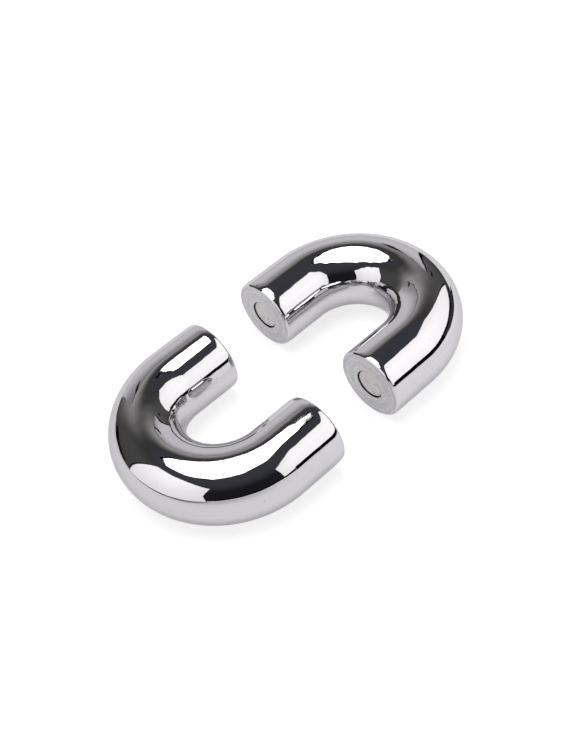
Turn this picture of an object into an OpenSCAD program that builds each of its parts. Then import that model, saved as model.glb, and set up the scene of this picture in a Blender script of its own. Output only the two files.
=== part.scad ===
// Two-piece magnetic oval ring.
//
// Two solid round bars, each bent into a U, face each other across a gap. A round magnet
// is glued into a pocket in every end face, and the facing magnets attract, so the halves
// close into one oval loop and pull apart again along its length.
//
// Frame: the ring lies flat on z = 0, its long axis along x, and the origin is under its
// middle. "left" is the half at -x, "near" the leg at -y. Dimensions are in millimetres.

/* [Ring] */
// Diameter of the round bar
bar_d = 20; // [16:0.5:24]
// Distance between the axes of a half's two legs
leg_pitch = 40; // [36:0.5:60]
// Length of a leg's straight stretch, from the bend to the end face
leg_len = 14; // [12:0.5:40]
// Distance between the facing end faces as the halves lie
face_gap = 18.8; // [0.1:0.1:60]
// Length of bar behind an end face that the polishing wheel has rolled off
roll_len = 2.6; // [1:0.2:5]
// Radius of that roll-off's curve along the bar
roll_r = 10; // [8:1:20]
// Radius of the edge between the roll-off and the end face
rim_r = 0.4; // [0.2:0.1:0.8]

/* [Magnets] */
// Diameter of a magnet
magnet_d = 8; // [5:0.5:10]
// Length of a magnet
magnet_len = 6; // [3:0.5:8]
// Radius of a magnet's rounded edges
magnet_edge = 0.25; // [0.1:0.05:0.4]
// How far a magnet's front lies below the end face
magnet_depth = 0.25; // [0:0.05:0.5]

/* [Pockets] */
// Clearance round a magnet, filled with adhesive
glue_gap = 0.15; // [0.1:0.05:0.3]
// Thickness of the adhesive behind a magnet
glue_bed = 0.3; // [0.1:0.1:1]
// How far the adhesive's front edge lies behind the magnet's front
glue_drop = 0.15; // [0:0.05:1]
// Width of the chamfer round a pocket's mouth
mouth_chamfer = 0.1; // [0.05:0.05:0.3]

/* [Hidden] */

bar_r = bar_d / 2;
bend_r = leg_pitch / 2;
magnet_r = magnet_d / 2;
pocket_r = magnet_r + glue_gap;
pocket_depth = magnet_depth + magnet_len + glue_bed;
glue_depth = magnet_depth + glue_drop;
through = 1; // how far a cutting tool runs past the face it cuts
$fn = 96;

// -1 for the left half, which bends towards -x, and 1 for the right half.
function side_sign(side) = side == "left" ? -1 : 1;

// Height of a leg's axis along y: the near leg is at -y.
function leg_y(leg) = leg == "near" ? -bend_r : bend_r;

// Sets children, drawn along +z from an end face at z = 0, into a leg of a half.
module into_leg(side, leg)
    translate([side_sign(side) * face_gap / 2, leg_y(leg), bar_r])
        rotate([0, side_sign(side) * 90, 0])
            children();

// Half section of a leg, its end face on the x axis: the bar's side curves in on roll_r,
// and a rim of radius rim_r, tangent to that curve, turns it into the end face.
module leg_section() {
    roll_centre = [bar_r - roll_r, roll_len];
    roll_angle = asin((roll_len - rim_r) / (roll_r - rim_r));
    rim_x = roll_centre.x + (roll_r - rim_r) * cos(roll_angle);
    square([rim_x, leg_len]);
    translate([0, roll_len])
        square([bar_r, leg_len - roll_len]);
    translate([rim_x, rim_r])
        circle(rim_r);
    intersection() {
        square([bar_r, roll_len]);
        translate(roll_centre)
            circle(roll_r);
        polygon([
            roll_centre,
            roll_centre + 2 * roll_r * [cos(roll_angle), -sin(roll_angle)],
            roll_centre + 2 * roll_r * [1, 0]
        ]);
    }
}

// One straight leg: a rod whose end face is at z = 0.
module leg_bar()
    rotate_extrude()
        leg_section();

// The half circle of bar that joins a half's two legs.
module bend(side)
    translate([side_sign(side) * (face_gap / 2 + leg_len), 0, bar_r])
        rotate([0, 0, -90 * side_sign(side)])
            rotate_extrude(angle = 180)
                translate([bend_r, 0])
                    circle(bar_r);

// The hole that a magnet sits in: a flat-bottomed bore with a chamfered mouth.
module pocket() {
    translate([0, 0, -through])
        cylinder(r = pocket_r, h = through + pocket_depth);
    cylinder(r1 = pocket_r + mouth_chamfer, r2 = pocket_r, h = mouth_chamfer);
}

// A solid U-shaped half of the ring, with a pocket in each end face.
module half_ring(side)
    color("silver")
        difference() {
            union() {
                bend(side);
                into_leg(side, "near") leg_bar();
                into_leg(side, "far") leg_bar();
            }
            into_leg(side, "near") pocket();
            into_leg(side, "far") pocket();
        }

// A rod magnet with rounded edges, its front just below the end face.
module magnet_body()
    translate([0, 0, magnet_depth])
        rotate_extrude() {
            square([magnet_r - magnet_edge, magnet_len]);
            translate([0, magnet_edge])
                square([magnet_r, magnet_len - 2 * magnet_edge]);
            for (edge_z = [magnet_edge, magnet_len - magnet_edge])
                translate([magnet_r - magnet_edge, edge_z])
                    circle(magnet_edge);
        }

module magnet(side, leg)
    color("gainsboro")
        into_leg(side, leg) magnet_body();

// The cured adhesive: a thin cup that fills the pocket round and behind its magnet.
module adhesive(side, leg)
    color("dimgray")
        into_leg(side, leg)
            difference() {
                translate([0, 0, glue_depth])
                    cylinder(r = pocket_r, h = pocket_depth - glue_depth);
                magnet_body();
            }

half_ring("left");  // left_half
magnet("left", "near");  // left_near_magnet
magnet("left", "far");  // left_far_magnet
adhesive("left", "near");  // left_near_adhesive
adhesive("left", "far");  // left_far_adhesive
half_ring("right");  // right_half
magnet("right", "near");  // right_near_magnet
magnet("right", "far");  // right_far_magnet
adhesive("right", "near");  // right_near_adhesive
adhesive("right", "far");  // right_far_adhesive
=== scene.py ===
"""Looks of the two-piece magnetic oval ring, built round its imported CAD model.

Each half of the ring, each magnet and each bed of adhesive is one mesh, made of rings of
points. A ring has a place along the bar, s, and a radius, so one function makes them all.
Lengths are in metres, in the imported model's frame.
"""
import math

import bpy
import numpy as np
from mathutils import Matrix, Vector


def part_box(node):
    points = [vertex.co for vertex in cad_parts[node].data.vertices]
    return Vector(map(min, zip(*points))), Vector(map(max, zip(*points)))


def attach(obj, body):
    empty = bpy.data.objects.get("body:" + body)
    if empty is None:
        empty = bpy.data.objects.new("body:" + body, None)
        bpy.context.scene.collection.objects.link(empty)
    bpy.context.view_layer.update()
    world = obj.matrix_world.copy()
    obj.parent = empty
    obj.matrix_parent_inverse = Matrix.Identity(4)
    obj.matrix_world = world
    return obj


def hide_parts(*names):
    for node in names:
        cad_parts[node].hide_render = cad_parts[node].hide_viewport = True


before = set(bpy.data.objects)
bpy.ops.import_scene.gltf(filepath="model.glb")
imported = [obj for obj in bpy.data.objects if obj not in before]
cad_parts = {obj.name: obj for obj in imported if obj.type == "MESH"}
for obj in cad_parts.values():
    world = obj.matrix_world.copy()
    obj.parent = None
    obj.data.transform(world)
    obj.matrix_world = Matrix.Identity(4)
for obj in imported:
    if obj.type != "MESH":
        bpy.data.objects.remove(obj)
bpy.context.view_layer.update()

MM = 0.001

# ---------------------------------------------------------------- sizes from the CAD model

SIDES = {"left": -1, "right": 1}                      # the halves, and where they lie along x
LEGS = ("near", "far")                                # a half's legs: the near one is at -y

half_low, half_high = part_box("right_half")
magnet_low, magnet_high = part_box("right_near_magnet")
adhesive_low, adhesive_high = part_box("right_near_adhesive")

BAR_R = (half_high.z - half_low.z) / 2
BEND_R = half_high.y - BAR_R
FACE_X = half_low.x                                   # from the middle plane to an end face
LEG_LEN = half_high.x - BAR_R - BEND_R - FACE_X
BAR_LEN = 2 * LEG_LEN + math.pi * BEND_R              # along the bar, from end face to end face
MAGNET_R = (magnet_high.z - magnet_low.z) / 2
MAGNET_FRONT = magnet_low.x - FACE_X                  # depths are measured from the end face
MAGNET_BACK = magnet_high.x - FACE_X
POCKET_R = (adhesive_high.z - adhesive_low.z) / 2
POCKET_DEPTH = adhesive_high.x - FACE_X

# Shapes that a box doesn't give. Close to the CAD model's, and always inside its outline
ROLL_LEN = 3.1 * MM                                   # how far the polish rolls off at an end
ROLL_DROP = 0.39 * MM                                 # how much thinner it leaves the end
BEVEL = 0.36 * MM
BEVEL_ROUND = 0.10 * MM
MOUTH_CHAMFER = 0.1 * MM
MAGNET_EDGE = 0.25 * MM                               # radius of a magnet's rounded edges
MAGNET_SHIFT = 0.10 * MM                              # how far a magnet sits off its pocket's axis
CREEP_TURN = 68                                       # degrees that glue can climb round that edge
GLUE_DIP = 0.03 * MM                                  # how far the glue dips between its two rims

AROUND = 192                                          # points in a ring
ANGLES = np.linspace(0, 2 * math.pi, AROUND, endpoint=False)
PEEL = 0.0011 * MM                                    # height of the polish's small waves
PEEL_SINK = 5 * PEEL                                  # keeps their crests inside the CAD box
SEAT = 0.004 * MM                                     # keeps glued surfaces from coinciding

# The ends are polished by hand, so some are rolled off less than the full length and depth
ROLL_SHARE = {("right", "near"): 0.6, ("right", "far"): 0.9, ("left", "far"): 0.8}

# Which way each magnet leans in its pocket: an angle round the leg, 0 is outwards and 90 up
MAGNET_LEANS = {
    ("right", "near"): 58, ("right", "far"): 120, ("left", "near"): 75, ("left", "far"): 100
}


# ---------------------------------------------------------------- meshes

def bar_points(side, s, radius, angle):
    """Points of the bar at s from the near end face, out from its centre line by radius."""
    bend_s = s - LEG_LEN
    turn = np.clip(bend_s / BEND_R, 0, math.pi)
    straight = np.minimum(bend_s, 0) - np.maximum(bend_s - math.pi * BEND_R, 0)
    out = BEND_R + radius * np.cos(angle)
    x = SIDES[side] * (FACE_X + LEG_LEN + straight + out * np.sin(turn))
    return np.stack([x, -out * np.cos(turn), BAR_R + radius * np.sin(angle)], axis=-1)


def arc(centre, radius, start, end, steps):
    """Points (s, radius) along an arc. An angle of 0 points away from the bar's axis."""
    angles = np.radians(np.linspace(start, end, steps + 1))
    return [(centre[0] + radius * math.sin(a), centre[1] + radius * math.cos(a)) for a in angles]


def rounded(before, corner, after, cut, steps=5):
    """Points (s, radius) that round a corner of a profile, from cut before it to cut after."""
    before, corner, after = (np.array(point) for point in (before, corner, after))
    start = corner + (before - corner) * cut / np.linalg.norm(before - corner)
    end = corner + (after - corner) * cut / np.linalg.norm(after - corner)
    return [
        tuple((1 - t) ** 2 * start + 2 * t * (1 - t) * corner + t * t * end)
        for t in np.linspace(0, 1, steps + 1)
    ]


def end_profile(side, leg):
    """The bar's section, from the pocket's floor out to the plain leg, and its ground rings."""
    roll_share = ROLL_SHARE.get((side, leg), 1)

    def roll_radius(s):
        to_plain = max(1 - s / (ROLL_LEN * roll_share), 0)
        return BAR_R - ROLL_DROP * roll_share * to_plain ** 3

    mouth_r = POCKET_R + MOUTH_CHAMFER
    face_r = roll_radius(BEVEL) - BEVEL
    floor = [(POCKET_DEPTH, POCKET_R * share) for share in (0.3, 1)]
    wall = [(MOUTH_CHAMFER, POCKET_R), (0, mouth_r)]
    face_width = face_r - BEVEL_ROUND - mouth_r
    face = [(0, mouth_r + face_width * share) for share in (0.03, 0.25, 0.5, 0.75, 0.97)]
    inner = (0, face_r)
    outer = (BEVEL, roll_radius(BEVEL))
    beyond = (2 * BEVEL, roll_radius(2 * BEVEL))
    bevel = rounded(face[-1], inner, outer, BEVEL_ROUND)
    bevel += rounded(inner, outer, beyond, BEVEL_ROUND)
    roll = [(s, roll_radius(s)) for s in np.linspace(2 * BEVEL, ROLL_LEN, 24)]
    ground = floor + wall + face
    return ground + bevel + roll, len(ground)


def peel(s, angle):
    """Height of the small waves left by polishing, largest inside the bend."""
    into_bend = np.minimum(s - LEG_LEN, BAR_LEN - LEG_LEN - s)
    bend = np.clip(into_bend / (6 * MM), 0, 1)
    inside = 1 + 2.4 * bend * np.clip(-np.cos(angle), 0, 1)
    a, b, c = (2 * math.pi * s / length for length in (3.1 * MM, 4.7 * MM, 7.9 * MM))
    waves = (
        np.sin(a + 5 * angle + 0.8 * np.sin(3 * angle)) * np.cos(7 * angle + 0.5 * np.sin(b))
        + 1.3 * np.sin(b - 8 * angle + 1.9)
        + 2.0 * np.cos(c + 5 * angle + 0.4) * np.cos(2 * angle - 1.1)
    )
    return PEEL * inside * waves


def off_centre(radius, shift, lean):
    """Radius, for each point of a ring, of a circle moved sideways."""
    turn = ANGLES - math.radians(lean)
    return shift * np.cos(turn) + np.sqrt(radius ** 2 - (shift * np.sin(turn)) ** 2)


def rings_to_mesh(name, side, rings, wavy=False):
    """A closed mesh through rings, each (s, radius), which are numbers or one value per point."""
    s = np.array([np.broadcast_to(ring[0], AROUND) for ring in rings], float)
    radius = np.array([np.broadcast_to(ring[1], AROUND) for ring in rings], float)
    if wavy:
        from_end = np.minimum(s, BAR_LEN - s)
        polished = (from_end > BEVEL) & (radius > 0.9 * BAR_R)
        radius += (peel(s, ANGLES) - PEEL_SINK) * polished
    points = bar_points(side, s, radius, ANGLES).reshape(-1, 3)
    last = (len(rings) - 1) * AROUND
    faces = []
    for here in range(0, last, AROUND):
        for j in range(AROUND):
            k = (j + 1) % AROUND
            faces.append([here + j, here + AROUND + j, here + AROUND + k, here + k])
    faces += [list(range(AROUND)), list(range(last + AROUND - 1, last - 1, -1))]
    if SIDES[side] < 0:
        faces = [face[::-1] for face in faces]
    mesh = bpy.data.meshes.new(name)
    mesh.from_pydata(points.tolist(), [], faces)
    straightened = np.stack([s, radius * np.cos(ANGLES), radius * np.sin(ANGLES)], axis=-1)
    bar_space = mesh.attributes.new("bar_space", "FLOAT_VECTOR", "POINT")
    bar_space.data.foreach_set("vector", straightened.astype(np.float32).ravel())
    mesh.shade_smooth()
    return mesh


def sharpen(mesh, crease_rings):
    """Marks the edges that run round the given rings as sharp."""
    crease = set(crease_rings)
    sharp = mesh.attributes.get("sharp_edge") or mesh.attributes.new("sharp_edge", "BOOLEAN", "EDGE")
    for edge in mesh.edges:
        a, b = (v // AROUND for v in edge.vertices)
        sharp.data[edge.index].value = a == b and a in crease


def add_object(name, mesh, materials):
    """Puts a mesh in the scene, with its material slots in the given order."""
    piece = bpy.data.objects.new(name, mesh)
    bpy.context.scene.collection.objects.link(piece)
    for material in materials:
        mesh.materials.append(material)
    return piece


def make_half(side, steel, ground):
    """One U-shaped half: polished outside, with ground end faces and their pockets."""
    near_profile, ground_rings = end_profile(side, "near")
    far_profile = [(BAR_LEN - s, radius) for s, radius in reversed(end_profile(side, "far")[0])]
    leg_steps, bend_steps = 26, 200
    leg = np.linspace(ROLL_LEN, LEG_LEN, leg_steps + 1)[1:]
    bend = LEG_LEN + np.linspace(0, math.pi * BEND_R, bend_steps + 1)[1:]
    plain = list(leg) + list(bend) + [BAR_LEN - s for s in reversed(leg[:-1])]
    rings = near_profile + [(s, BAR_R) for s in plain] + far_profile
    mesh = rings_to_mesh(f"{side}_bar", side, rings, wavy=True)
    last = len(rings) - 1
    creases = [1, 2, 3]                                # round the pocket's floor, wall and mouth
    sharpen(mesh, creases + [last - ring for ring in creases])
    for face in mesh.polygons:
        face_rings = [v // AROUND for v in face.vertices]
        inner = max(face_rings) <= ground_rings or min(face_rings) >= last - ground_rings
        face.material_index = 1 if inner else 0
    return add_object(f"{side}_bar", mesh, [steel, ground])


def end_mesh(name, side, leg, rings):
    """A turned piece in an end's pocket, from rings of (depth, radius)."""
    if leg == "far":
        rings = [(BAR_LEN - np.asarray(depth), radius) for depth, radius in reversed(rings)]
    return rings_to_mesh(name, side, rings)


def make_magnet(side, leg, nickel):
    """A plated rod magnet with rounded edges, a little off its pocket's axis."""
    flat_r = MAGNET_R - MAGNET_EDGE
    front = [(MAGNET_FRONT, flat_r * share) for share in (0.2, 0.6, 0.97)]
    front_edge = arc((MAGNET_FRONT + MAGNET_EDGE, flat_r), MAGNET_EDGE, -90, 0, 8)
    back_edge = arc((MAGNET_BACK - MAGNET_EDGE, flat_r), MAGNET_EDGE, 0, 90, 6)
    back = [(MAGNET_BACK, flat_r * share) for share in (0.97, 0.3)]
    lean = MAGNET_LEANS[side, leg]
    rings = [
        (s, off_centre(radius, MAGNET_SHIFT, lean))
        for s, radius in front + front_edge + back_edge + back
    ]
    return add_object(f"{side}_{leg}_plated_magnet", end_mesh("magnet", side, leg, rings), [nickel])


def make_adhesive(side, leg, glue):
    """The cured bed: it holds the magnet and creeps unevenly over its rounded edge, highest where
    the gap is widest, so its dark is partly glue and partly painted shade of the gap.
    """
    lean = MAGNET_LEANS[side, leg]
    seed = math.radians(lean)
    turn = ANGLES - seed
    # Painted shade: the dark glue climbs furthest opposite the magnet's lean, where the gap is
    # widest and shade falls.
    creep_and_shade = 0.60 - 0.38 * np.cos(turn) + 0.10 * np.sin(3 * ANGLES - seed)
    creep_and_shade = np.clip(creep_and_shade + 0.06 * np.sin(7 * ANGLES + 2 * seed), 0, 1)
    flat_r = MAGNET_R - MAGNET_EDGE
    on_edge = np.radians(CREEP_TURN * creep_and_shade)
    inner_depth = MAGNET_FRONT + MAGNET_EDGE * (1 - np.sin(on_edge)) - SEAT
    inner_r = off_centre(flat_r, MAGNET_SHIFT, lean) + MAGNET_EDGE * np.cos(on_edge) + SEAT
    side_r = off_centre(MAGNET_R, MAGNET_SHIFT, lean) + SEAT
    wall_r = POCKET_R - SEAT
    rings = [
        (MAGNET_BACK + SEAT, 0.3 * MAGNET_R),
        (MAGNET_BACK + SEAT, side_r),
        (MAGNET_FRONT + MAGNET_EDGE, side_r),
        (inner_depth, inner_r),
        (inner_depth + GLUE_DIP, 0.5 * (inner_r + wall_r)),
        (inner_depth - GLUE_DIP, wall_r),
        (POCKET_DEPTH - SEAT, wall_r),
        (POCKET_DEPTH - SEAT, 0.3 * MAGNET_R),
    ]
    return add_object(f"{side}_{leg}_glue", end_mesh("glue", side, leg, rings), [glue])


# ---------------------------------------------------------------- materials

# Noise scales are in cells per metre. A place in bar_space is (s, two places across the bar)

class Graph:
    """A node tree, with short calls to add nodes and join them."""

    def __init__(self, owner):
        owner.use_nodes = True
        self.tree = owner.node_tree
        self.tree.nodes.clear()

    def add(self, kind, inputs=None, **settings):
        """Adds a node. Each input is a socket to join or a value to set."""
        node = self.tree.nodes.new(kind)
        for name, value in settings.items():
            setattr(node, name, value)
        for name, value in (inputs or {}).items():
            if isinstance(value, bpy.types.NodeSocket):
                self.tree.links.new(value, node.inputs[name])
            else:
                node.inputs[name].default_value = value
        return node

    def math(self, operation, a, b):
        return self.add("ShaderNodeMath", {0: a, 1: b}, operation=operation).outputs[0]

    def noise(self, vector, scale, detail=3.0, roughness=0.5):
        values = {"Vector": vector, "Scale": scale, "Detail": detail, "Roughness": roughness}
        return self.add("ShaderNodeTexNoise", values).outputs["Fac"]

    def stretch(self, vector, scale, turn=(0, 0, 0)):
        """Scales a place, then turns it, in degrees."""
        values = {"Vector": vector, "Scale": scale, "Rotation": [math.radians(t) for t in turn]}
        return self.add("ShaderNodeMapping", values).outputs["Vector"]

    def span(self, value, low, high, to_low, to_high, curve="LINEAR"):
        """Maps low..high to to_low..to_high, and goes no further at either end."""
        values = {"Value": value, 1: low, 2: high, 3: to_low, 4: to_high}
        node = self.add("ShaderNodeMapRange", values, interpolation_type=curve)
        return node.outputs["Result"]

    def ease(self, value, low, high, to_low, to_high):
        """As span, with a smooth start and end."""
        return self.span(value, low, high, to_low, to_high, curve="SMOOTHSTEP")

    def mix(self, share, a, b):
        """The colour that is a at a share of 0 and b at 1."""
        node = self.add("ShaderNodeMix", data_type="RGBA")
        for socket, value in zip((node.inputs[0], node.inputs[6], node.inputs[7]), (share, a, b)):
            if isinstance(value, bpy.types.NodeSocket):
                self.tree.links.new(value, socket)
            else:
                socket.default_value = value
        return node.outputs[2]

    def bump(self, height, distance, under=None):
        """The normal of a height map, laid over the normal under it."""
        values = {"Height": height, "Distance": distance, "Strength": 1.0}
        if under is not None:
            values["Normal"] = under
        return self.add("ShaderNodeBump", values).outputs["Normal"]

    def attribute(self, name):
        return self.add("ShaderNodeAttribute", attribute_name=name).outputs["Vector"]

    def surface(self, **inputs):
        """Ends the tree in a Principled shader with the given inputs."""
        named = {name.replace("_", " "): value for name, value in inputs.items()}
        shader = self.add("ShaderNodeBsdfPrincipled", named)
        self.add("ShaderNodeOutputMaterial", {"Surface": shader.outputs[0]})


def grey(value):
    """A neutral colour."""
    return (value, value, value, 1)


def polished_steel():
    """Mirror-polished bar: faint hairlines along it, dull patches, and scuffs at its ends."""
    material = bpy.data.materials.new("polished_steel")
    g = Graph(material)
    place = g.attribute("bar_space")
    hairline = g.noise(g.stretch(place, (90, 2600, 2600)), 1.0, 3.0)
    scratch_field = g.noise(g.stretch(place, (110, 1700, 1700), (0, 0, 8)), 1.0, 1.0)
    scratch = g.span(scratch_field, 0.71, 0.75, 0, 1)
    haze = g.noise(place, 130.0, 4.0, 0.6)
    s = g.add("ShaderNodeSeparateXYZ", {0: place}).outputs["X"]
    from_end = g.math("MINIMUM", s, g.math("SUBTRACT", BAR_LEN, s))
    worn = g.span(from_end, 0, 5 * MM, 1, 0)
    nick_field = g.noise(place, 1100.0, 2.0, 0.7)
    nick = g.math("MULTIPLY", g.span(nick_field, 0.62, 0.7, 0, 1), worn)
    speck = g.span(g.noise(place, 1500.0, 1.0), 0.775, 0.81, 0, 1)
    streak = g.span(g.noise(g.stretch(place, (40, 1500, 1500)), 1.0, 2.0), 0.5, 0.72, 0, 1)
    rough = g.span(haze, 0.35, 0.7, 0.02, 0.055)
    for wear, added in ((streak, 0.035), (nick, 0.10), (scratch, 0.06)):
        rough = g.math("ADD", rough, g.math("MULTIPLY", wear, added))
    tint = g.mix(haze, (0.548, 0.542, 0.555, 1), (0.578, 0.571, 0.584, 1))
    tint = g.mix(g.math("MULTIPLY", streak, 0.3), tint, (0.49, 0.485, 0.50, 1))
    tint = g.mix(speck, tint, grey(0.25))
    normal = g.bump(hairline, 0.0016 * MM)
    normal = g.bump(g.math("ADD", scratch, nick), -0.0012 * MM, normal)
    g.surface(
        Base_Color=tint, Metallic=1.0, Specular_Tint=grey(0.72), Roughness=rough, Normal=normal
    )
    return material


def ground_steel():
    """End faces turned and lapped flat: faint rings, fine strokes, a cloudy satin, and a near-black
    pocket mouth that is partly a glue film and partly painted shade.
    """
    material = bpy.data.materials.new("ground_steel")
    g = Graph(material)
    place = g.attribute("bar_space")
    across = g.stretch(place, (0, 1, 1))
    radius = g.add("ShaderNodeVectorMath", {0: across}, operation="LENGTH").outputs["Value"]
    rings_place = g.add("ShaderNodeVectorMath", {0: across, 3: 60.0}, operation="SCALE")
    wander = g.noise(rings_place.outputs[0], 3.0, 1.0)
    turned = g.add("ShaderNodeCombineXYZ", {0: g.math("MULTIPLY", radius, 1500.0), 1: wander})
    rings = g.noise(turned.outputs[0], 1.0, 3.0, 0.6)
    stroke_place = g.stretch(g.stretch(place, (1, 1, 1), (33, 0, 0)), (1, 1900, 260))
    strokes = g.noise(stroke_place, 1.0, 3.0, 0.7)
    pits = g.noise(place, 1500.0, 3.0, 0.7)
    grain = g.math("MULTIPLY", rings, 0.7)
    for marks, share in ((strokes, 0.4), (pits, 0.6)):
        grain = g.math("ADD", grain, g.math("MULTIPLY", marks, share))
    cloud = g.noise(place, 330.0, 3.0, 0.55)
    dent = g.span(g.noise(place, 1300.0, 1.0), 0.735, 0.78, 0, 1)
    # Painted shade: the pocket's wall and mouth chamfer are near-black, partly a film of glue and
    # partly the shade of the recess.
    glue_film_and_shade = g.ease(radius, POCKET_R + 0.03 * MM, POCKET_R + 0.12 * MM, 1, 0)
    tint = g.mix(g.span(cloud, 0.3, 0.7, 0, 1), (0.33, 0.327, 0.337, 1), (0.41, 0.405, 0.413, 1))
    tint = g.mix(g.span(grain, 0.72, 1.02, 0.0, 0.8), tint, (0.58, 0.571, 0.58, 1))
    tint = g.mix(g.math("MULTIPLY", dent, 0.5), tint, grey(0.22))
    tint = g.mix(glue_film_and_shade, tint, grey(0.02))
    rough = g.span(cloud, 0.3, 0.7, 0.28, 0.38)
    normal = g.bump(grain, 0.012 * MM)
    normal = g.bump(dent, -0.006 * MM, normal)
    g.surface(Base_Color=tint, Metallic=1.0, Roughness=rough, Normal=normal)
    return material


def nickel_plate():
    """The magnets' plating: warm, softly mottled, with fine scuffs and grey stains."""
    material = bpy.data.materials.new("nickel_plate")
    g = Graph(material)
    place = g.attribute("bar_space")
    mottle = g.noise(place, 700.0, 4.0, 0.6)
    scuff_place = g.stretch(g.stretch(place, (1, 1, 1), (24, 0, 0)), (1, 2600, 300))
    scuff = g.noise(scuff_place, 1.0, 3.0)
    stain = g.span(g.noise(place, 430.0, 2.0, 0.7), 0.52, 0.68, 0, 0.6)
    tint = g.mix(g.span(mottle, 0.3, 0.7, 0, 1), (0.39, 0.375, 0.364, 1), (0.50, 0.482, 0.468, 1))
    tint = g.mix(g.span(scuff, 0.45, 0.7, 0.0, 0.5), tint, (0.58, 0.56, 0.54, 1))
    tint = g.mix(stain, tint, (0.32, 0.305, 0.295, 1))
    rough = g.span(scuff, 0.3, 0.7, 0.22, 0.36)
    normal = g.bump(mottle, 0.004 * MM)
    normal = g.bump(scuff, 0.003 * MM, normal)
    g.surface(Base_Color=tint, Metallic=1.0, Roughness=rough, Normal=normal)
    return material


def cured_adhesive():
    """Near-black epoxy with a slight gloss and tiny pits; its dark is partly the glue's own colour
    and partly painted shade of the gap round the magnet.
    """
    material = bpy.data.materials.new("cured_adhesive")
    g = Graph(material)
    place = g.attribute("bar_space")
    patch = g.noise(place, 1400.0, 3.0)
    pit = g.span(g.noise(place, 5200.0, 1.0), 0.66, 0.74, 0, 1)
    # Painted shade: near-black, partly the glue's colour and partly the shade in the gap round the
    # magnet.
    tint = g.mix(patch, (0.006, 0.006, 0.007, 1), (0.022, 0.021, 0.02, 1))
    rough = g.span(patch, 0.3, 0.7, 0.32, 0.55)
    normal = g.bump(pit, -0.02 * MM)
    g.surface(Base_Color=tint, Specular_IOR_Level=0.15, Roughness=rough, Normal=normal)
    return material


# ---------------------------------------------------------------- parts of a studio

MIRRORED_Z = -0.5 * MM                                # the mirrored floor, under the seen one
PATCH_Z = -0.3 * MM                                   # what lies on it

def matt(name, albedo, light, colour=(1, 1, 1, 1), shade=None):
    """Matt paper that is also lit from behind."""
    material = bpy.data.materials.new(name)
    g = Graph(material)
    if shade:
        position = g.add("ShaderNodeNewGeometry").outputs["Position"]
        light = g.math("MULTIPLY", light, shade(g, position))
    g.surface(
        Base_Color=grey(albedo), Roughness=0.9, Emission_Color=colour, Emission_Strength=light
    )
    return material


def glow(name, strength, colour=(1, 1, 1, 1), shades=(), least=0.0):
    """A panel that shines from its front only. Shades bring its strength down towards least."""
    material = bpy.data.materials.new(name)
    g = Graph(material)
    geometry = g.add("ShaderNodeNewGeometry")
    front = g.math("SUBTRACT", 1.0, geometry.outputs["Backfacing"])
    level = g.math("MULTIPLY", front, strength - least)
    for shade in shades:
        level = g.math("MULTIPLY", level, shade(g, geometry.outputs["Position"]))
    level = g.math("ADD", level, g.math("MULTIPLY", front, least))
    light = g.add("ShaderNodeEmission", {"Color": colour, "Strength": level})
    g.add("ShaderNodeOutputMaterial", {"Surface": light.outputs[0]})
    return material


def along(axis, start, end, from_share, to_share):
    """A shade that eases from one share to another between two places on the X or Z axis."""
    def shade(g, position):
        place = g.add("ShaderNodeSeparateXYZ", {0: position}).outputs[axis]
        return g.ease(place, start, end, from_share, to_share)
    return shade


def spot(centre, near, reach, edge_share):
    """A shade that is 1 out to near from the centre, then eases to edge_share at reach."""
    def shade(g, position):
        distance = g.add("ShaderNodeVectorMath", {0: position, 1: centre}, operation="DISTANCE")
        return g.ease(distance.outputs["Value"], near, reach, 1.0, edge_share)
    return shade


def stage_mesh(name, points, faces, material, seen=False, mirrored=True):
    """Part of the studio: seen directly, or only lighting and mirrored in the object."""
    mesh = bpy.data.meshes.new(name)
    mesh.from_pydata(points, [], faces)
    mesh.shade_smooth()
    thing = add_object(name, mesh, [material])
    thing.visible_camera = seen
    thing.visible_glossy = thing.visible_diffuse = thing.visible_shadow = mirrored


def panel(name, outline, material):
    """A flat panel facing the object. Gives its corners in order, its centre and its view."""
    centre = sum(outline, Vector()) / len(outline)
    to_object = Vector((0, 0, BAR_R)) - centre
    normal = (outline[1] - outline[0]).cross(outline[2] - outline[1])
    corners = outline if normal.dot(to_object) > 0 else outline[::-1]
    stage_mesh(name, corners, [list(range(len(corners)))], material)
    return corners, centre, to_object


def softbox(name, outline, material, lip):
    """A glowing panel facing the object, with a lip of black cloth, lip wide, round it."""
    inner, centre, to_object = panel(name, outline, material)
    count = len(inner)
    outer = [p + (p - centre).normalized() * lip for p in inner]
    forward = to_object.normalized() * 2 * MM          # the lip lies just in front of the panel
    points = [p + forward for p in inner + outer]
    faces = [[i, count + i, count + (i + 1) % count, (i + 1) % count] for i in range(count)]
    stage_mesh(f"{name}_lip", points, faces, black)


def upright(start, end, bottoms, tops):
    """Outline of an upright panel over the line from start to end. Heights are (start, end)."""
    return [
        Vector((*start, bottoms[0])), Vector((*end, bottoms[1])),
        Vector((*end, tops[1])), Vector((*start, tops[0])),
    ]


def facing(azimuth, distance, across, heights):
    """Outline of an upright rectangle that faces the object. Across runs from left to right."""
    a = math.radians(azimuth)
    ahead, right = Vector((math.cos(a), math.sin(a), 0)), Vector((math.sin(a), -math.cos(a), 0))
    corners = [(across[0], heights[0]), (across[1], heights[0]),
               (across[1], heights[1]), (across[0], heights[1])]
    return [distance * ahead + u * right + Vector((0, 0, z)) for u, z in corners]


def level_outline(centre, corners):
    """Outline of a level panel, from (azimuth, distance) of its corners about its centre."""
    turns = [(math.radians(azimuth), distance) for azimuth, distance in corners]
    return [Vector(centre) + Vector((d * math.cos(a), d * math.sin(a), 0)) for a, d in turns]


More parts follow.
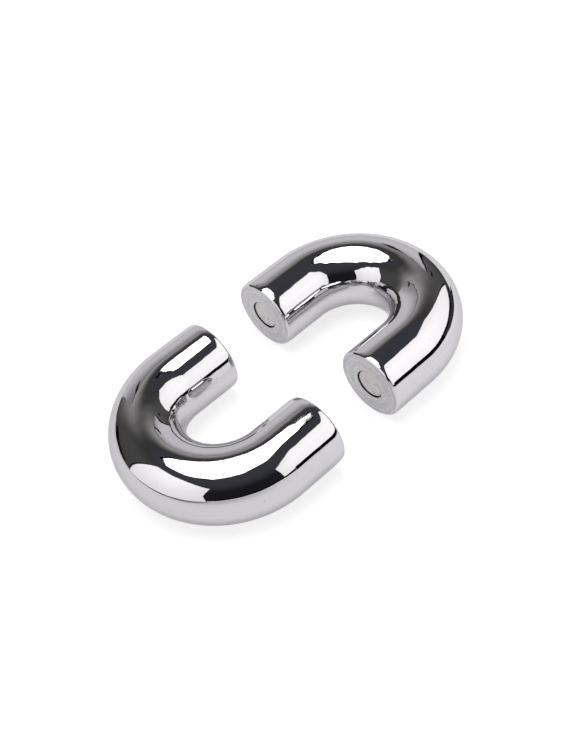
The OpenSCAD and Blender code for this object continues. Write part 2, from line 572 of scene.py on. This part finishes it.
def curved_wall(name, radius, azimuths, heights, material, steps=48):
    """Part of an upright cylinder round the object. Heights may be numbers or (start, end)."""
    angles = np.radians(np.linspace(*azimuths, steps + 1))
    low, high = (np.linspace(*np.broadcast_to(h, 2), steps + 1) for h in heights)
    rows = [
        [Vector((radius * math.cos(a), radius * math.sin(a), z)) for a, z in zip(angles, level)]
        for level in (low, high)
    ]
    faces = [[i + 1, i, steps + 1 + i, steps + 2 + i] for i in range(steps)]
    stage_mesh(name, rows[0] + rows[1], faces, material)


def mirrored_floor(flat_r, rim_r, rim_heights, material, steps=96):
    """A round floor whose edge curves up in places, as paper does: (azimuth, height) pairs."""
    azimuths, heights = zip(*rim_heights)
    rings = 8
    points, faces = [Vector((0, 0, MIRRORED_Z))], []
    for ring in range(rings + 1):
        t = ring / rings
        r = flat_r + (rim_r - flat_r) * t
        for i in range(steps):
            rim_z = np.interp(360 * i / steps, azimuths, heights)
            a = 2 * math.pi * i / steps
            points.append(Vector((r * math.cos(a), r * math.sin(a), MIRRORED_Z + rim_z * t * t)))
    for i in range(steps):
        k = (i + 1) % steps
        faces.append([0, 1 + i, 1 + k])
        for ring in range(rings):
            here, there = 1 + ring * steps, 1 + (ring + 1) * steps
            faces.append([here + i, there + i, there + k, here + k])
    stage_mesh("mirrored_floor", points, faces, material)


def floor_patch(name, corners, material):
    """A flat shape that lies on the mirrored floor, from (x, y) of its corners."""
    points = [Vector((x, y, PATCH_Z)) for x, y in corners]
    stage_mesh(name, points, [list(range(len(points)))], material)


def seen_floor(half_width, material):
    """The floor that the camera sees, which nothing mirrors."""
    w = half_width
    corners = [Vector((-w, -w, 0)), Vector((w, -w, 0)), Vector((w, w, 0)), Vector((-w, w, 0))]
    stage_mesh("floor", corners, [[0, 1, 2, 3]], material, seen=True, mirrored=False)


def dark_room(low, high):
    """A dark room round the panels, lighter towards its ceiling, and plain white to the camera."""
    world = bpy.data.worlds.new("room")
    bpy.context.scene.world = world
    g = Graph(world)
    direction = g.add("ShaderNodeTexCoord").outputs["Generated"]
    height = g.add("ShaderNodeSeparateXYZ", {0: direction}).outputs["Z"]
    colour = g.mix(g.ease(height, 0.45, 0.85, 0.0, 1.0), low, high)
    room = g.add("ShaderNodeBackground", {"Color": colour, "Strength": 1.0})
    white = g.add("ShaderNodeBackground", {"Color": (1, 1, 1, 1), "Strength": 1.0})
    seen = g.add("ShaderNodeLightPath").outputs["Is Camera Ray"]
    both = g.add("ShaderNodeMixShader", {0: seen, 1: room.outputs[0], 2: white.outputs[0]})
    g.add("ShaderNodeOutputWorld", {"Surface": both.outputs[0]})


def place_camera(azimuth, elevation, roll, distance, lens, shift):
    """A camera that looks at the middle of the ring. Azimuth 0 looks along +Y."""
    az, el, ro = (math.radians(v) for v in (azimuth, elevation, roll))
    back = Vector((math.sin(az) * math.cos(el), -math.cos(az) * math.cos(el), math.sin(el)))
    level = Vector((math.cos(az), math.sin(az), 0))
    upright_axis = back.cross(level)
    right = math.cos(ro) * level + math.sin(ro) * upright_axis
    up = back.cross(right)
    data = bpy.data.cameras.new("camera")
    camera = bpy.data.objects.new("camera", data)
    bpy.context.scene.collection.objects.link(camera)
    centre = Vector((0, 0, BAR_R))
    camera.matrix_world = Matrix.Translation(centre + back * distance) @ Matrix(
        (right, up, back)
    ).transposed().to_4x4()
    data.sensor_width = 36
    data.lens = lens
    data.shift_x, data.shift_y = shift
    data.clip_start = 0.01
    bpy.context.scene.camera = camera


# ---------------------------------------------------------------- the studio

place_camera(
    azimuth=-35.9, elevation=47.0, roll=-10.9, distance=0.315, lens=57.35, shift=(-0.011, -0.0087)
)
bpy.context.scene.view_settings.view_transform = "Standard"

COOL_WHITE = (0.985, 0.965, 1, 1)
WARM_WHITE = (1, 0.98, 0.95, 1)

black = glow("black_cloth", 0.0)
brown = glow("dark_wood", 0.018, (1, 0.75, 0.62, 1))
dark_room(low=(0.016, 0.016, 0.019, 1), high=(0.062, 0.064, 0.078, 1))

seen_floor(2.0, matt("white_floor", 0.35, 0.72, shade=spot((0, 0, 0), 0.12, 0.45, 1.42)))
mirrored_floor(
    flat_r=0.40, rim_r=0.62,
    rim_heights=[
        (0, 0.0), (6, 0.02), (170, 0.0), (208, 0.085), (268, 0.085), (300, 0.03), (330, 0.0),
        (360, 0.0),
    ],
    material=matt(
        "mirrored_paper", 0.50, 0.50, COOL_WHITE, along("X", -0.35, 0.25, 0.55, 1.35)
    ),
)
curved_wall("floor_gap", 0.66, (180, 215), ((0.0, 0.10), (0.015, 0.13)), black)
curved_wall("front_gap", 0.66, (215, 285), (0.0, 0.13), black)
curved_wall("side_gap", 0.60, (285, 322), ((0.0, -0.01), (0.145, 0.11)), black)

# At the right the white paper ends at a straight black edge, with dark table beyond it
dark_table = glow("dark_table", 0.055, (0.9, 0.95, 1, 1))
table_start, table_end = (0.303, 0), (0.67, -0.405)
floor_patch("paper_edge", [(0.17, 0), (0.60, -0.475), table_end, table_start], black)
floor_patch("bare_table", [table_start, table_end, (0.67, 0)], dark_table)
table_turn = (322, 362)
curved_wall("table_end", 0.60, table_turn, (-0.01, (0.08, 0.048)), dark_table)
curved_wall("table_end_top", 0.60, table_turn, ((0.08, 0.048), (0.106, 0.07)), black)

softbox(
    "overhead_box",
    level_outline(
        (-0.05, 0.10, 0.88),
        [(-22, 0.41), (8, 0.41), (38, 0.515), (65, 0.445), (100, 0.415), (130, 0.42), (172, 0.40),
         (215, 0.43), (255, 0.42), (295, 0.41)],
    ),
    glow("overhead_light", 4.4), lip=0.03,
)
left_outline = upright((-0.30, 0.23), (-0.47, -0.25), (0.0, 0.05), (0.43, 0.43))
left_outline.insert(2, Vector((-0.455, -0.21, 0.18)))     # a fold in its near edge
left_shade = spot((-0.34, 0.10, 0.42), 0.0, 0.55, 0.70)
left_light = glow("left_light", 1.72, (1, 0.985, 0.99, 1), [left_shade])
softbox("left_box", left_outline, left_light, lip=0.012)

right_shade = spot((0.42, -0.42, 0.50), 0.0, 0.75, 0.84)
softbox(
    "right_box",
    upright((0.09, -1.05), (0.70, 0.05), (0.12, 0.12), (0.90, 0.90)),
    glow("right_light", 1.76, (1, 0.99, 0.985, 1), [right_shade]), lip=0.02,
)

# Behind: a sheet of paper clipped to a bar, its stand, a dark shelf and a wall lit above them
SHEET_AZIMUTH = 60
sheet = SHEET_AZIMUTH, 0.80
before_sheet = SHEET_AZIMUTH, 0.79
clip_half_width = 0.024
panel(
    "back_paper", facing(*sheet, (-0.50, 0.53), (0.0, 0.66)),
    glow("back_paper", 0.90, COOL_WHITE, [spot((0.80, 0.50, -0.80), 1.2, 1.62, 0.38)]),
)
panel("paper_bar", facing(*sheet, (-0.36, 0.36), (0.66, 0.675)), black)
panel("stand", facing(*sheet, (0.53, 0.57), (0.0, 0.64)), black)
panel("stand_knob", facing(*sheet, (0.66, 0.72), (0.50, 0.62)), black)
for clip_place in (-0.28, 0.28):
    clip_sides = clip_place - clip_half_width, clip_place + clip_half_width
    panel("clip", facing(*before_sheet, clip_sides, (0.52, 0.66)), black)
curved_wall("dark_shelf", 0.90, (108, 133), (0.0, (0.16, 0.08)), brown)
curved_wall("shelf_edge", 0.88, (111, 116), (0.03, (0.15, 0.12)), black)
curved_wall(
    "back_wall", 1.10, (-3, 150), (0.0, 1.45),
    glow(
        "back_wall", 0.76, WARM_WHITE,
        [along("Z", 0.66, 1.42, 1.0, 0.0), along("Z", 0.0, 0.45, 0.45, 1.0),
         along("X", 0.45, -0.33, 1.0, 0.05), along("X", 0.60, 1.08, 1.0, 0.08)],
        least=0.06,
    ),
)

# ---------------------------------------------------------------- the object

steel, ground = polished_steel(), ground_steel()
nickel, glue = nickel_plate(), cured_adhesive()

for side in SIDES:
    body = f"{side}_body"
    half = make_half(side, steel, ground)
    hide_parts(f"{side}_half")
    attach(half, body)
    for leg in LEGS:
        magnet = make_magnet(side, leg, nickel)
        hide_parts(f"{side}_{leg}_magnet")
        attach(magnet, body)
        bed = make_adhesive(side, leg, glue)
        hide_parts(f"{side}_{leg}_adhesive")
        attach(bed, body)
